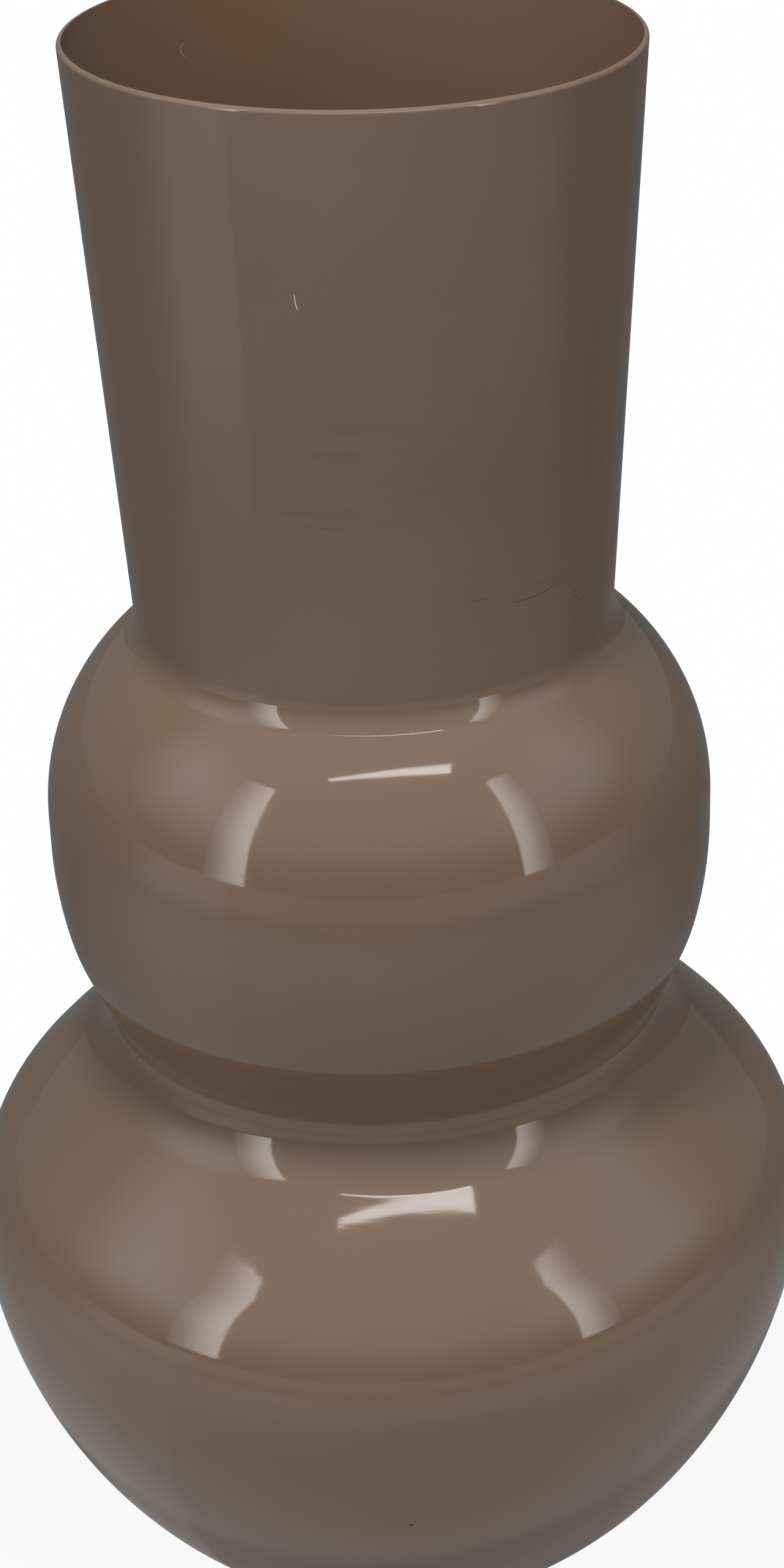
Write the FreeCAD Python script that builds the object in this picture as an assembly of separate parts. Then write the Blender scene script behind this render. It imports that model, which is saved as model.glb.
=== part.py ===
import FreeCAD, Part
import math
import os

# Double gourd vase of spun sheet metal: a tapered neck on a small bulb, a waist and a large bulb.
# Millimetres, +Z up. The origin is the middle of the face that the vase rests on.
#
# The outside is one smooth outline, made of straight and round stretches that run from the rim
# down to the foot. Each stretch also gives the faces that lie deeper in the sheet. A lean is the
# angle, in degrees, by which the outward normal rises above the horizontal.

# Sheet, and the seams between the spun pieces
WALL = 1.2
SEAM_LAP = 5.0
SEAM_MARGIN = 1.0
LIP_OUTER_ROUND_SHARE = 0.83
LIP_INNER_ROUND_SHARE = 0.13

# Neck
RIM_RADIUS = 65.0
NECK_FOOT_RADIUS = 56.7
NECK_LENGTH = 141.85
NECK_FILLET = 4.0

# Upper bulb
UPPER_RADIUS = 80.7
UPPER_TOP_CURVE = 55.9
UPPER_BAND = 7.6
UPPER_FLANK_CURVE = 105.0
UPPER_FLANK_LEAN_ANGLE = 12.0
UPPER_FOOT_CURVE = 6.5

# Waist between the bulbs
WAIST_RADIUS = 66.4
WAIST_FILLET = 6.5
COLLAR_HEIGHT = 21.6
COLLAR_LEDGE = 1.3
SPIGOT_LEDGE = 3.0

# Lower bulb
LOWER_RADIUS = 105.9
LOWER_DEPTH = 98.0
SHOULDER_CURVE = 40.4
SHOULDER_LEAN_ANGLE = 47.2
LOWER_FLANK_CURVE = 87.5
LOWER_FLANK_LEAN_ANGLE = 11.5

# Foot
FOOT_RADIUS = 53.2
FOOT_ROUND = 4.0
FOOT_FLANGE = 9.0
PLATE_THICKNESS = 1.5
PLATE_CLEARANCE = 0.5
FELT_PROUD = 1.0
FELT_CLEARANCE = 0.5

FULL_TURN = 360.0
LEVEL = 0.0
DOWN = -90.0


def spot(radius, height):
    """A point of the outline, in the plane that is turned about the vase's axis."""
    return FreeCAD.Vector(radius, 0, height)


def normal(lean):
    """The outward unit normal at a lean."""
    angle = math.radians(lean)
    return FreeCAD.Vector(math.cos(angle), 0, math.sin(angle))


def lean_of(vector):
    """The lean of a vector in the outline's plane."""
    return math.degrees(math.atan2(vector.z, vector.x))


def line(start, end):
    return Part.LineSegment(start, end).toShape()


class Bend:
    """A round stretch from one lean to another. Its radius is below zero where it is hollow."""

    def __init__(self, centre, radius, start, end):
        self.centre = centre
        self.radius = radius
        self.start = start
        self.end = end

    def at(self, lean, depth):
        return self.centre + normal(lean) * (self.radius - depth)

    def first(self, depth=0.0):
        return self.at(self.start, depth)

    def last(self, depth=0.0):
        return self.at(self.end, depth)

    def edge(self, depth=0.0):
        middle = self.at((self.start + self.end) / 2, depth)
        return Part.Arc(self.first(depth), middle, self.last(depth)).toShape()

    def turn(self, length):
        """The change of lean over a length of the outside."""
        return math.degrees(length / self.radius)

    def head(self, length):
        return Bend(self.centre, self.radius, self.start, self.start - self.turn(length))

    def tail(self, length):
        return Bend(self.centre, self.radius, self.end + self.turn(length), self.end)

    def without_head(self, length):
        return Bend(self.centre, self.radius, self.start - self.turn(length), self.end)


class Straight:
    """A straight stretch, from its upper to its lower end."""

    def __init__(self, start, end, lean):
        self.start = start
        self.end = end
        self.lean = lean

    def first(self, depth=0.0):
        return self.start - normal(self.lean) * depth

    def last(self, depth=0.0):
        return self.end - normal(self.lean) * depth

    def edge(self, depth=0.0):
        return line(self.first(depth), self.last(depth))

    def along(self):
        return (self.end - self.start).normalize()

    def head(self, length):
        return Straight(self.start, self.start + self.along() * length, self.lean)

    def tail(self, length):
        return Straight(self.end - self.along() * length, self.end, self.lean)

    def without_head(self, length):
        return Straight(self.start + self.along() * length, self.end, self.lean)

    def without_tail(self, length):
        return Straight(self.start, self.end - self.along() * length, self.lean)

    def at_height(self, height, depth):
        """The point of a face of the sheet at a height."""
        start = self.first(depth)
        return start + self.along() * ((height - start.z) / self.along().z)


def spun(edges):
    """One solid, from the edges of a closed outline turned about the vase's axis."""
    face = Part.Face(Part.Wire(Part.__sortEdges__(edges)))
    return face.revolve(FreeCAD.Vector(0, 0, 0), FreeCAD.Vector(0, 0, 1), FULL_TURN)


def joggled_sheet(stretches, mate):
    """A spun sheet whose upper edge stands up behind the mate's last stretch.

    The edge steps in by the sheet's own wall, and the mate's lower edge sits on that step.
    """
    top = stretches[0]
    bottom = stretches[-1]
    root = top.head(WALL)
    body = [top.without_head(WALL * 2)] + stretches[1:]
    lap = mate.tail(SEAM_LAP)
    outside = [stretch.edge() for stretch in stretches]
    inside = [stretch.edge(WALL) for stretch in body]
    lip = [lap.edge(WALL), line(lap.first(WALL), lap.first(WALL * 2)), lap.edge(WALL * 2)]
    step = [line(top.first(), top.first(WALL)), root.edge(WALL * 2)]
    slope = line(root.last(WALL * 2), body[0].first(WALL))
    return spun(outside + [line(bottom.last(), bottom.last(WALL))] + inside + [slope] + step + lip)


def foot_turn_radius():
    """Radius at which the upper bulb's foot has turned flat."""
    flank = normal(-UPPER_FLANK_LEAN_ANGLE)
    return UPPER_RADIUS - UPPER_FLANK_CURVE + (UPPER_FLANK_CURVE - UPPER_FOOT_CURVE) * flank.x


def lower_outline():
    """The lower bulb: its shoulder's bend, and the stretches from its widest part to its flange."""
    widest = FELT_PROUD + LOWER_DEPTH
    shoulder = Bend(spot(LOWER_RADIUS - SHOULDER_CURVE, widest), SHOULDER_CURVE, SHOULDER_LEAN_ANGLE, LEVEL)
    flank_centre = spot(LOWER_RADIUS - LOWER_FLANK_CURVE, widest)
    flank = Bend(flank_centre, LOWER_FLANK_CURVE, LEVEL, -LOWER_FLANK_LEAN_ANGLE)

    # The bowl leaves the flank smoothly and would meet the base at the foot's radius.
    across = flank.last() - spot(FOOT_RADIUS, FELT_PROUD)
    inward = normal(-LOWER_FLANK_LEAN_ANGLE)
    curve = across.dot(across) / (2 * across.dot(inward))
    bowl_centre = flank.last() - inward * curve
    round_height = FELT_PROUD + FOOT_ROUND
    reach = math.sqrt((curve - FOOT_ROUND) ** 2 - (bowl_centre.z - round_height) ** 2)
    round_centre = spot(bowl_centre.x + reach, round_height)
    round_lean = lean_of(round_centre - bowl_centre)
    bowl = Bend(bowl_centre, curve, -LOWER_FLANK_LEAN_ANGLE, round_lean)
    foot = Bend(round_centre, FOOT_ROUND, round_lean, DOWN)
    flange = Straight(foot.last(), foot.last() - spot(FOOT_FLANGE, 0), DOWN)
    return shoulder, [flank, bowl, foot, flange]


def waist_outline(shoulder):
    """The waist, from under the upper bulb down to the end of the collar's skirt, and the slope."""
    out = normal(SHOULDER_LEAN_ANGLE)
    start = shoulder.first()
    centre_radius = WAIST_RADIUS + WAIST_FILLET
    height = start.z + (WAIST_FILLET - (centre_radius - start.x) * out.x) / out.z
    centre = spot(centre_radius, height)

    # The cone runs from its top out into the hollow fillet.
    top = spot(foot_turn_radius() - COLLAR_LEDGE, height + COLLAR_HEIGHT)
    offset = top - centre
    lean = lean_of(offset) - math.degrees(math.acos(-WAIST_FILLET / offset.Length))
    hollow = Bend(centre, -WAIST_FILLET, lean, SHOULDER_LEAN_ANGLE)
    cone = Straight(top, hollow.first(), lean)
    slope = Straight(hollow.last(), start, SHOULDER_LEAN_ANGLE)
    skirt = SEAM_LAP + SEAM_MARGIN
    return [cone, hollow, slope.head(skirt)], slope.without_head(skirt)


def upper_bowl_outline(foot_height, hole_radius):
    """The upper bulb below its widest part, down to the flat flange that lies on the waist."""
    foot_centre = spot(foot_turn_radius(), foot_height + UPPER_FOOT_CURVE)
    foot = Bend(foot_centre, UPPER_FOOT_CURVE, -UPPER_FLANK_LEAN_ANGLE, DOWN)
    flank_centre = foot.first() - normal(-UPPER_FLANK_LEAN_ANGLE) * UPPER_FLANK_CURVE
    flank = Bend(flank_centre, UPPER_FLANK_CURVE, LEVEL, -UPPER_FLANK_LEAN_ANGLE)
    flange = Straight(foot.last(), spot(hole_radius, foot_height), DOWN)
    return [flank, foot, flange]


def upper_crown_outline(widest):
    """The neck, and the upper bulb from the neck's seam down to its widest part."""
    band = Straight(widest + spot(0, UPPER_BAND), widest, LEVEL)
    centre = band.start - spot(UPPER_TOP_CURVE, 0)
    reach = NECK_FOOT_RADIUS - centre.x
    corner = spot(NECK_FOOT_RADIUS, centre.z + math.sqrt(UPPER_TOP_CURVE ** 2 - reach ** 2))
    rim = spot(RIM_RADIUS, corner.z + NECK_LENGTH)
    up = (rim - corner).normalize()
    neck_lean = lean_of(FreeCAD.Vector(up.z, 0, -up.x))

    # The fillet lies beside the neck and touches the bulb's top curve from outside.
    beside = corner + normal(neck_lean) * NECK_FILLET - centre
    half = beside.dot(up)
    climb = math.sqrt(half ** 2 - beside.dot(beside) + (UPPER_TOP_CURVE + NECK_FILLET) ** 2) - half
    fillet_centre = centre + beside + up * climb
    top_lean = lean_of(fillet_centre - centre)
    fillet = Bend(fillet_centre, -NECK_FILLET, neck_lean, top_lean)
    dome = Bend(centre, UPPER_TOP_CURVE, top_lean, LEVEL)
    neck = Straight(rim, fillet.first(), neck_lean)
    upstand = WALL * 2 + SEAM_MARGIN
    return neck.without_tail(upstand), [neck.tail(upstand), fillet, dome, band]


def is_circle(edge, point):
    """Whether an edge is the level circle through a point of the outline."""
    if not isinstance(edge.Curve, Part.Circle):
        return False
    near = WALL * LIP_INNER_ROUND_SHARE / 2
    return abs(edge.Curve.Center.z - point.z) < near and abs(edge.Curve.Radius - point.x) < near


def neck_tube(neck):
    """Tapered tube. Its mouth is cut level, well rounded outside and barely broken inside."""
    mouth = neck.at_height(neck.start.z, WALL)
    edges = [neck.edge(), line(neck.last(), neck.last(WALL)), line(neck.last(WALL), mouth)]
    tube = spun(edges + [line(mouth, neck.start)])
    for corner, share in ((neck.start, LIP_OUTER_ROUND_SHARE), (mouth, LIP_INNER_ROUND_SHARE)):
        tube = tube.makeFillet(WALL * share, [edge for edge in tube.Edges if is_circle(edge, corner)])
    return tube


def waist_collar(stretches, hole_radius):
    """Collar of the waist. Its top turns in to a ledge, then up through the upper bulb's hole."""
    cone = stretches[0]
    skirt = stretches[-1]
    ledge_height = cone.start.z - WALL
    spigot_height = cone.start.z + WALL + SEAM_LAP
    ledge_end = cone.at_height(ledge_height, WALL)
    corners = [cone.start, spot(hole_radius, cone.start.z), spot(hole_radius, spigot_height)]
    corners += [spot(hole_radius - WALL, spigot_height), spot(hole_radius - WALL, ledge_height)]
    corners += [ledge_end, cone.last(WALL)]
    spigot = [line(start, end) for start, end in zip(corners, corners[1:])]
    outside = [stretch.edge() for stretch in stretches]
    inside = [stretch.edge(WALL) for stretch in stretches[1:]]
    return spun(outside + [line(skirt.last(), skirt.last(WALL))] + inside + spigot)


def base_plate(flange):
    """Flat disc that lies on the foot's flange and closes the foot from inside."""
    radius = flange.start.x - PLATE_CLEARANCE
    return Part.makeCylinder(radius, PLATE_THICKNESS, spot(0, flange.start.z + WALL))


def felt_disc(flange):
    """Felt glued under the base plate, in the foot's hole. The vase stands on it."""
    return Part.makeCylinder(flange.end.x - FELT_CLEARANCE, flange.end.z + WALL)


def build():
    """All sub-parts, by name."""
    shoulder, lower_bowl = lower_outline()
    collar, slope = waist_outline(shoulder)
    collar_top = collar[0].start
    hole_radius = collar_top.x - SPIGOT_LEDGE
    upper_bowl = upper_bowl_outline(collar_top.z, hole_radius)
    neck, upper_crown = upper_crown_outline(upper_bowl[0].first())
    flange = lower_bowl[-1]
    return {
        "neck": neck_tube(neck),
        "upper_bulb_crown": joggled_sheet(upper_crown, neck),
        "upper_bulb_bowl": joggled_sheet(upper_bowl, upper_crown[-1]),
        "waist_collar": waist_collar(collar, hole_radius),
        "lower_bulb_crown": joggled_sheet([slope, shoulder], collar[-1]),
        "lower_bulb_bowl": joggled_sheet(lower_bowl, shoulder),
        "base_plate": base_plate(flange),
        "felt_disc": felt_disc(flange),
    }


os.makedirs("parts", exist_ok=True)
for name, shape in build().items():
    shape.exportStep("parts/" + name + ".step")
    box = shape.optimalBoundingBox()
    print(f"{name}: {box.XLength:.1f} mm wide, from {box.ZMin:.2f} to {box.ZMax:.2f} mm high,",
          f"{len(shape.Solids)} solid, valid {shape.isValid()}")
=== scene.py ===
"""Double gourd vase of spun sheet metal under one glossy taupe enamel, in a pale studio.

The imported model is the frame. Each spun shell is turned again from the same outline, finely enough
for a mirror-like coat, and stands for its CAD node. Lengths are metres and leans are degrees: a lean
is the angle by which the outward normal rises above the horizontal.
"""
import sys
import logging
import math
from dataclasses import dataclass, replace
from enum import Enum

import bmesh
import bpy
from mathutils import Matrix, Vector


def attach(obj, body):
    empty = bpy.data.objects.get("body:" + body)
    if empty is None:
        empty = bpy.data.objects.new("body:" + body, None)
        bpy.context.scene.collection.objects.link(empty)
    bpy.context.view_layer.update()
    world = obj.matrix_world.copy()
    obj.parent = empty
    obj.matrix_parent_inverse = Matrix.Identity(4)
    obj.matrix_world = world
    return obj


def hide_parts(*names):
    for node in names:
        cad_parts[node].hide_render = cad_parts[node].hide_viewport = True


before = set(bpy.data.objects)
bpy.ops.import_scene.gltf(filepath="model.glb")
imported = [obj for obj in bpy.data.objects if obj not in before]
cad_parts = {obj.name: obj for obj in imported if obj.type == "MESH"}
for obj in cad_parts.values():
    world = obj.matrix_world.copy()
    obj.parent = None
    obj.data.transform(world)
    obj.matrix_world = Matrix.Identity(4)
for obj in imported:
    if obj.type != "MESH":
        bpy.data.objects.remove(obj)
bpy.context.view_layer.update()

LOG = logging.getLogger("vase")
MM = 0.001
QUARTER_TURN = 90.0
UP = QUARTER_TURN
LEVEL = 0.0
DOWN = -QUARTER_TURN
PHOTO_WIDTH = 1280
PHOTO_HEIGHT = 2560

Span = tuple[float, float]
Place = tuple[float, float, float]
Colour = tuple[float, float, float, float]
Object = bpy.types.Object
Socket = bpy.types.NodeSocket
Sockets = bpy.types.bpy_prop_collection

WHITE: Colour = (1.0, 1.0, 1.0, 1.0)


def place_object(name: str, data: bpy.types.ID) -> Object:
    """Makes an object and puts it into the scene.

    Args:
        name: The object's name.
        data: Its mesh, lamp or camera.

    Returns:
        The object.
    """
    made = bpy.data.objects.new(name, data)
    bpy.context.scene.collection.objects.link(made)
    return made


def spot(radius: float, height: float) -> Vector:
    """A point of the outline, in the plane y = 0."""
    return Vector((radius, 0.0, height))


def normal(lean: float) -> Vector:
    """The outward unit normal at a lean."""
    return Vector((math.cos(math.radians(lean)), 0.0, math.sin(math.radians(lean))))


def lean_of(vector: Vector) -> float:
    """The lean of a vector in the outline's plane."""
    return math.degrees(math.atan2(vector.z, vector.x))


class Stretch:
    """A stretch of the outline, from its upper to its lower end."""

    def split(self, length: float) -> tuple["Stretch", "Stretch"]:
        """Parts the stretch in two.

        Args:
            length: How far from its upper end, or below zero for how far from its lower end.

        Returns:
            The upper and the lower part.
        """
        edge = self.start if length > 0.0 else self.end
        middle = edge + self.per_length() * length
        return replace(self, end=middle), replace(self, start=middle)

    def first(self, depth: float = 0.0) -> Vector:
        """The upper end, this deep in the sheet."""
        return self.face(self.start, depth)

    def last(self, depth: float = 0.0) -> Vector:
        """The lower end, this deep in the sheet."""
        return self.face(self.end, depth)


@dataclass(frozen=True)
class Bend(Stretch):
    """A round stretch, between two leans. Its radius is below zero where it is hollow."""

    centre: Vector
    radius: float
    start: float
    end: float

    def face(self, lean: float, depth: float) -> Vector:
        """The point at a lean, this deep in the sheet."""
        return self.centre + normal(lean) * (self.radius - depth)

    def per_length(self) -> float:
        """The change of lean over a length of one metre."""
        return math.degrees(-1.0 / self.radius)


@dataclass(frozen=True)
class Straight(Stretch):
    """A straight stretch, between two points."""

    start: Vector
    end: Vector
    lean: float

    def face(self, place: Vector, depth: float) -> Vector:
        """The point under a place of the outside, this deep in the sheet."""
        return place - normal(self.lean) * depth

    def per_length(self) -> Vector:
        """The unit vector from the upper to the lower end."""
        return (self.end - self.start).normalized()

    def at_height(self, height: float, depth: float) -> Vector:
        """The point at a height, this deep in the sheet."""
        return self.first(depth) + self.per_length() * ((height - self.first(depth).z)
                                                        / self.per_length().z)


class Lathe:
    """Draws a closed outline with bmesh operators and spins it into one closed shell."""

    STEP = 0.9 * MM
    INSIDE_COARSER = 2.0
    STRAIGHT_STEP = 5.0 * MM
    LEAST_STEPS = 4
    ROUND_STEPS = 6
    GUARD = 0.04 * MM
    TURN_STEPS = 288
    MERGE = 0.002 * MM
    SHARP_ANGLE = math.radians(35.0)

    def __init__(self, start: Vector) -> None:
        """Begins an outline at a point.

        Args:
            start: The first point, in the plane y = 0.
        """
        self.mesh = bmesh.new()
        self.tip = bmesh.ops.create_vert(self.mesh, co=start)["vert"][0]

    def line_to(self, end: Vector) -> "Lathe":
        """Draws one straight edge.

        Args:
            end: Where the edge ends.

        Returns:
            This lathe, so that calls can follow one another.
        """
        if (end - self.tip.co).length > self.MERGE:
            grown = bmesh.ops.extrude_vert_indiv(self.mesh, verts=[self.tip])
            self.tip = grown["verts"][0]
            bmesh.ops.translate(self.mesh, verts=[self.tip], vec=end - self.tip.co)
        return self

    def arc(self, centre: Vector, turn: float, steps: int) -> "Lathe":
        """Draws a round run about a centre.

        Args:
            centre: The middle of the arc.
            turn: How far the lean falls over the arc, in degrees; below zero where it rises.
            steps: How many edges the arc gets.

        Returns:
            This lathe.
        """
        spun = bmesh.ops.spin(self.mesh, geom=[self.tip], cent=centre, axis=(0.0, 1.0, 0.0),
                              angle=math.radians(turn), steps=steps)
        self.tip = next(item for item in spun["geom_last"] if isinstance(item, bmesh.types.BMVert))
        return self

    def follow(self, stretch: Stretch, depth: float = 0.0, upward: bool = False,
               step: float = STEP) -> "Lathe":
        """Draws a stretch of the outline, with a short edge at each end.

        The short edges keep the shading at a seam as smooth as the coat that covers it.

        Args:
            stretch: The stretch to follow.
            depth: How deep the drawn face lies in the sheet.
            upward: Whether to go from its lower to its upper end.
            step: The longest edge on a round stretch.

        Returns:
            This lathe.
        """
        begin, finish = stretch.first(depth), stretch.last(depth)
        if upward:
            begin, finish = finish, begin
        self.line_to(begin)
        if isinstance(stretch, Straight):
            run = finish - begin
            self.line_to(begin + run.normalized() * self.GUARD)
            count = max(1, round(run.length / self.STRAIGHT_STEP))
            for share in range(1, count):
                self.line_to(begin + run * (share / count))
            self.line_to(finish - run.normalized() * self.GUARD)
            return self.line_to(finish)
        turn = stretch.start - stretch.end
        radius = abs(stretch.radius - depth)
        sign = math.copysign(1.0, turn) * (-1.0 if upward else 1.0)
        guard = math.degrees(self.GUARD / radius)
        inner = abs(turn) - 2.0 * guard
        steps = max(self.LEAST_STEPS, math.ceil(math.radians(inner) * radius / step))
        for part, count in ((guard, 1), (inner, steps), (guard, 1)):
            self.arc(stretch.centre, sign * part, count)
        return self

    def spin(self, name: str, node: str, closed: bool = True) -> Object:
        """Closes the outline, spins it about the vase's axis and makes a smooth-shaded object.

        Args:
            name: The object's name.
            node: The CAD node that it stands for.
            closed: Whether the outline is a loop; otherwise it starts and ends on the axis.

        Returns:
            The new object, at the origin, with its place in its mesh.
        """
        mesh = self.mesh
        if closed:
            mesh.verts.ensure_lookup_table()
            if (mesh.verts[0].co - self.tip.co).length > self.MERGE:
                mesh.edges.new((self.tip, mesh.verts[0]))
            bmesh.ops.remove_doubles(mesh, verts=mesh.verts[:], dist=self.MERGE)
        bmesh.ops.spin(mesh, geom=mesh.verts[:] + mesh.edges[:], axis=(0.0, 0.0, 1.0),
                       angle=math.tau, steps=self.TURN_STEPS, use_merge=True)
        bmesh.ops.remove_doubles(mesh, verts=mesh.verts[:], dist=self.MERGE)
        bmesh.ops.recalc_face_normals(mesh, faces=mesh.faces[:])
        data = bpy.data.meshes.new(name)
        mesh.to_mesh(data)
        mesh.free()
        data.shade_smooth()
        data.set_sharp_from_angle(angle=self.SHARP_ANGLE)
        made = place_object(name, data)
        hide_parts(node)
        return made


@dataclass(frozen=True)
class Sheet:
    """The spun sheet and its seams."""

    wall: float = 1.2 * MM
    lap: float = 5.0 * MM
    margin: float = 1.0 * MM

    def shell(self, name: str, node: str, stretches: list[Stretch], mate: Stretch,
              step: float = Lathe.STEP) -> Object:
        """Spins a sheet whose upper edge stands up behind the last stretch of the piece above.

        Args:
            name: The object's name.
            node: The CAD node that it stands for.
            stretches: The sheet's outside, from its upper to its lower edge.
            mate: The last stretch of the piece above.
            step: The longest edge on a round stretch of the outside.

        Returns:
            The shell's object.
        """
        joggle = self.wall * 2.0
        top = stretches[0]
        behind = mate.split(-self.lap)[1]
        lathe = Lathe(top.first())
        for stretch in stretches:
            lathe.follow(stretch, step=step)
        for stretch in reversed([top.split(joggle)[1]] + stretches[1:]):
            lathe.follow(stretch, self.wall, upward=True, step=step * Lathe.INSIDE_COARSER)
        lathe.follow(top.split(self.wall)[0], joggle, upward=True)
        lathe.follow(behind, joggle, upward=True).follow(behind, self.wall)
        return lathe.spin(name, node)


@dataclass(frozen=True)
class LowerBulb:
    """The large bulb and its turned-in foot."""

    sheet: Sheet = Sheet()
    radius: float = 105.9 * MM
    depth: float = 98.0 * MM
    felt_proud: float = 1.0 * MM
    slope_curve: float = 200.0 * MM
    shoulder_curve: float = 40.4 * MM
    shoulder_lean: float = 41.8
    flank_curve: float = 87.5 * MM
    flank_lean: float = 11.5
    foot_radius: float = 53.2 * MM
    foot_round: float = 4.0 * MM
    flange: float = 9.0 * MM

    def shoulder(self) -> Bend:
        """The bend from the slope under the waist down to the widest part.

        Returns:
            The bend.
        """
        centre = spot(self.radius - self.shoulder_curve, self.felt_proud + self.depth)
        return Bend(centre, self.shoulder_curve, self.shoulder_lean, LEVEL)

    def slope(self) -> Bend:
        """The slightly crowned slope above the shoulder.

        Returns:
            The slope, with its upper end still open.
        """
        shoulder = self.shoulder()
        centre = shoulder.first() - normal(shoulder.start) * self.slope_curve
        return Bend(centre, self.slope_curve, UP, shoulder.start)

    def bowl(self) -> list[Stretch]:
        """The stretches below the widest part.

        Returns:
            The flank, the bowl, the rounded foot and its flange.
        """
        widest = self.felt_proud + self.depth
        flank_centre = spot(self.radius - self.flank_curve, widest)
        flank = Bend(flank_centre, self.flank_curve, LEVEL, -self.flank_lean)
        across = flank.last() - spot(self.foot_radius, self.felt_proud)
        inward = normal(-self.flank_lean)
        curve = across.dot(across) / (2.0 * across.dot(inward))
        centre = flank.last() - inward * curve
        height = self.felt_proud + self.foot_round
        reach = math.sqrt((curve - self.foot_round) ** 2 - (centre.z - height) ** 2)
        round_centre = spot(centre.x + reach, height)
        round_lean = lean_of(round_centre - centre)
        bowl = Bend(centre, curve, -self.flank_lean, round_lean)
        foot = Bend(round_centre, self.foot_round, round_lean, DOWN)
        return [flank, bowl, foot, Straight(foot.last(), foot.last() - spot(self.flange, 0.0), DOWN)]

    def build(self, slope: Bend, skirt: Bend) -> list[Object]:
        """Builds the two shells.

        Args:
            slope: The slope from the waist's skirt to the shoulder.
            skirt: The last stretch of the waist, behind which the crown's edge stands up.

        Returns:
            The crown and the bowl.
        """
        shoulder = self.shoulder()
        return [self.sheet.shell("lower_crown_shell", "lower_bulb_crown", [slope, shoulder], skirt),
                self.sheet.shell("lower_bowl_shell", "lower_bulb_bowl", self.bowl(), shoulder)]


@dataclass(frozen=True)
class Waist:
    """The collar between the bulbs: a turn, a cone, a hollow foot, a skirt, a ledge and a spigot."""

    sheet: Sheet = Sheet()
    radius: float = 69.7 * MM
    tight_hollow: float = 9.0 * MM
    soft_hollow: float = 22.0 * MM
    hollow_lean: float = 12.0
    turn: float = 45.0 * MM
    fused: float = 0.3 * MM
    top: float = 177.667 * MM
    ledge: float = 4.3 * MM
    step: float = 0.5 * MM
    tight_step: float = 0.4 * MM

    def outline(self, slope: Bend, foot: Bend) -> tuple[list[Stretch], Bend]:
        """Works out the waist between the two bulbs.

        Args:
            slope: The large bulb's slope.
            foot: The small bulb's rounded foot, from whose upper end the collar flows on.

        Returns:
            The waist's stretches, and the slope that goes on below its skirt.
        """
        looser = normal(self.hollow_lean) * (self.soft_hollow - self.tight_hollow)
        aside = self.radius + self.tight_hollow + looser.x - slope.centre.x
        rise = math.sqrt((slope.radius + self.soft_hollow) ** 2 - aside ** 2)
        low_centre = slope.centre + spot(aside, rise)
        meeting = lean_of(low_centre - slope.centre)
        centre = low_centre - looser
        turn_centre = foot.first() - normal(foot.start) * self.turn
        offset = centre - turn_centre
        apart = math.acos((self.turn + self.tight_hollow) / offset.length)
        lean = lean_of(offset) + math.degrees(apart)
        turn = Bend(turn_centre, self.turn, foot.start, lean)
        tight = Bend(centre, -self.tight_hollow, lean, self.hollow_lean)
        soft = Bend(low_centre, -self.soft_hollow, self.hollow_lean, meeting)
        cone = Straight(turn.last(), tight.first(), lean)
        below = Bend(slope.centre, slope.radius, meeting, slope.end)
        skirt, slope = below.split(self.sheet.lap + self.sheet.margin)
        return [turn, cone, tight, soft, skirt], slope

    def hole_radius(self, foot: float) -> float:
        """The radius of the small bulb's hole, from where its foot has turned flat."""
        return foot - self.ledge

    def build(self, stretches: list[Stretch], foot: Bend) -> Object:
        """Builds the collar. It fills the groove under the small bulb's foot and is fused to the foot.

        Args:
            stretches: The waist's outside, from outline().
            foot: The small bulb's rounded foot.

        Returns:
            The collar.
        """
        wall = self.sheet.wall
        turn, cone, tight, soft, skirt = stretches
        hole = self.hole_radius(foot.centre.x)
        low = self.top - wall
        high = self.top + wall + self.sheet.lap
        lathe = Lathe(turn.first())
        lathe.follow(turn, step=self.step).follow(cone).follow(tight, step=self.tight_step)
        lathe.follow(soft, step=self.step).follow(skirt)
        for stretch in (skirt, soft, tight):
            lathe.follow(stretch, wall, upward=True)
        for corner in (cone.at_height(low, wall), spot(hole - wall, low), spot(hole - wall, high),
                       spot(hole, high), spot(hole, self.top)):
            lathe.line_to(corner)
        return lathe.follow(foot, self.fused, upward=True).spin("waist_shell", "waist_collar")


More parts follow.
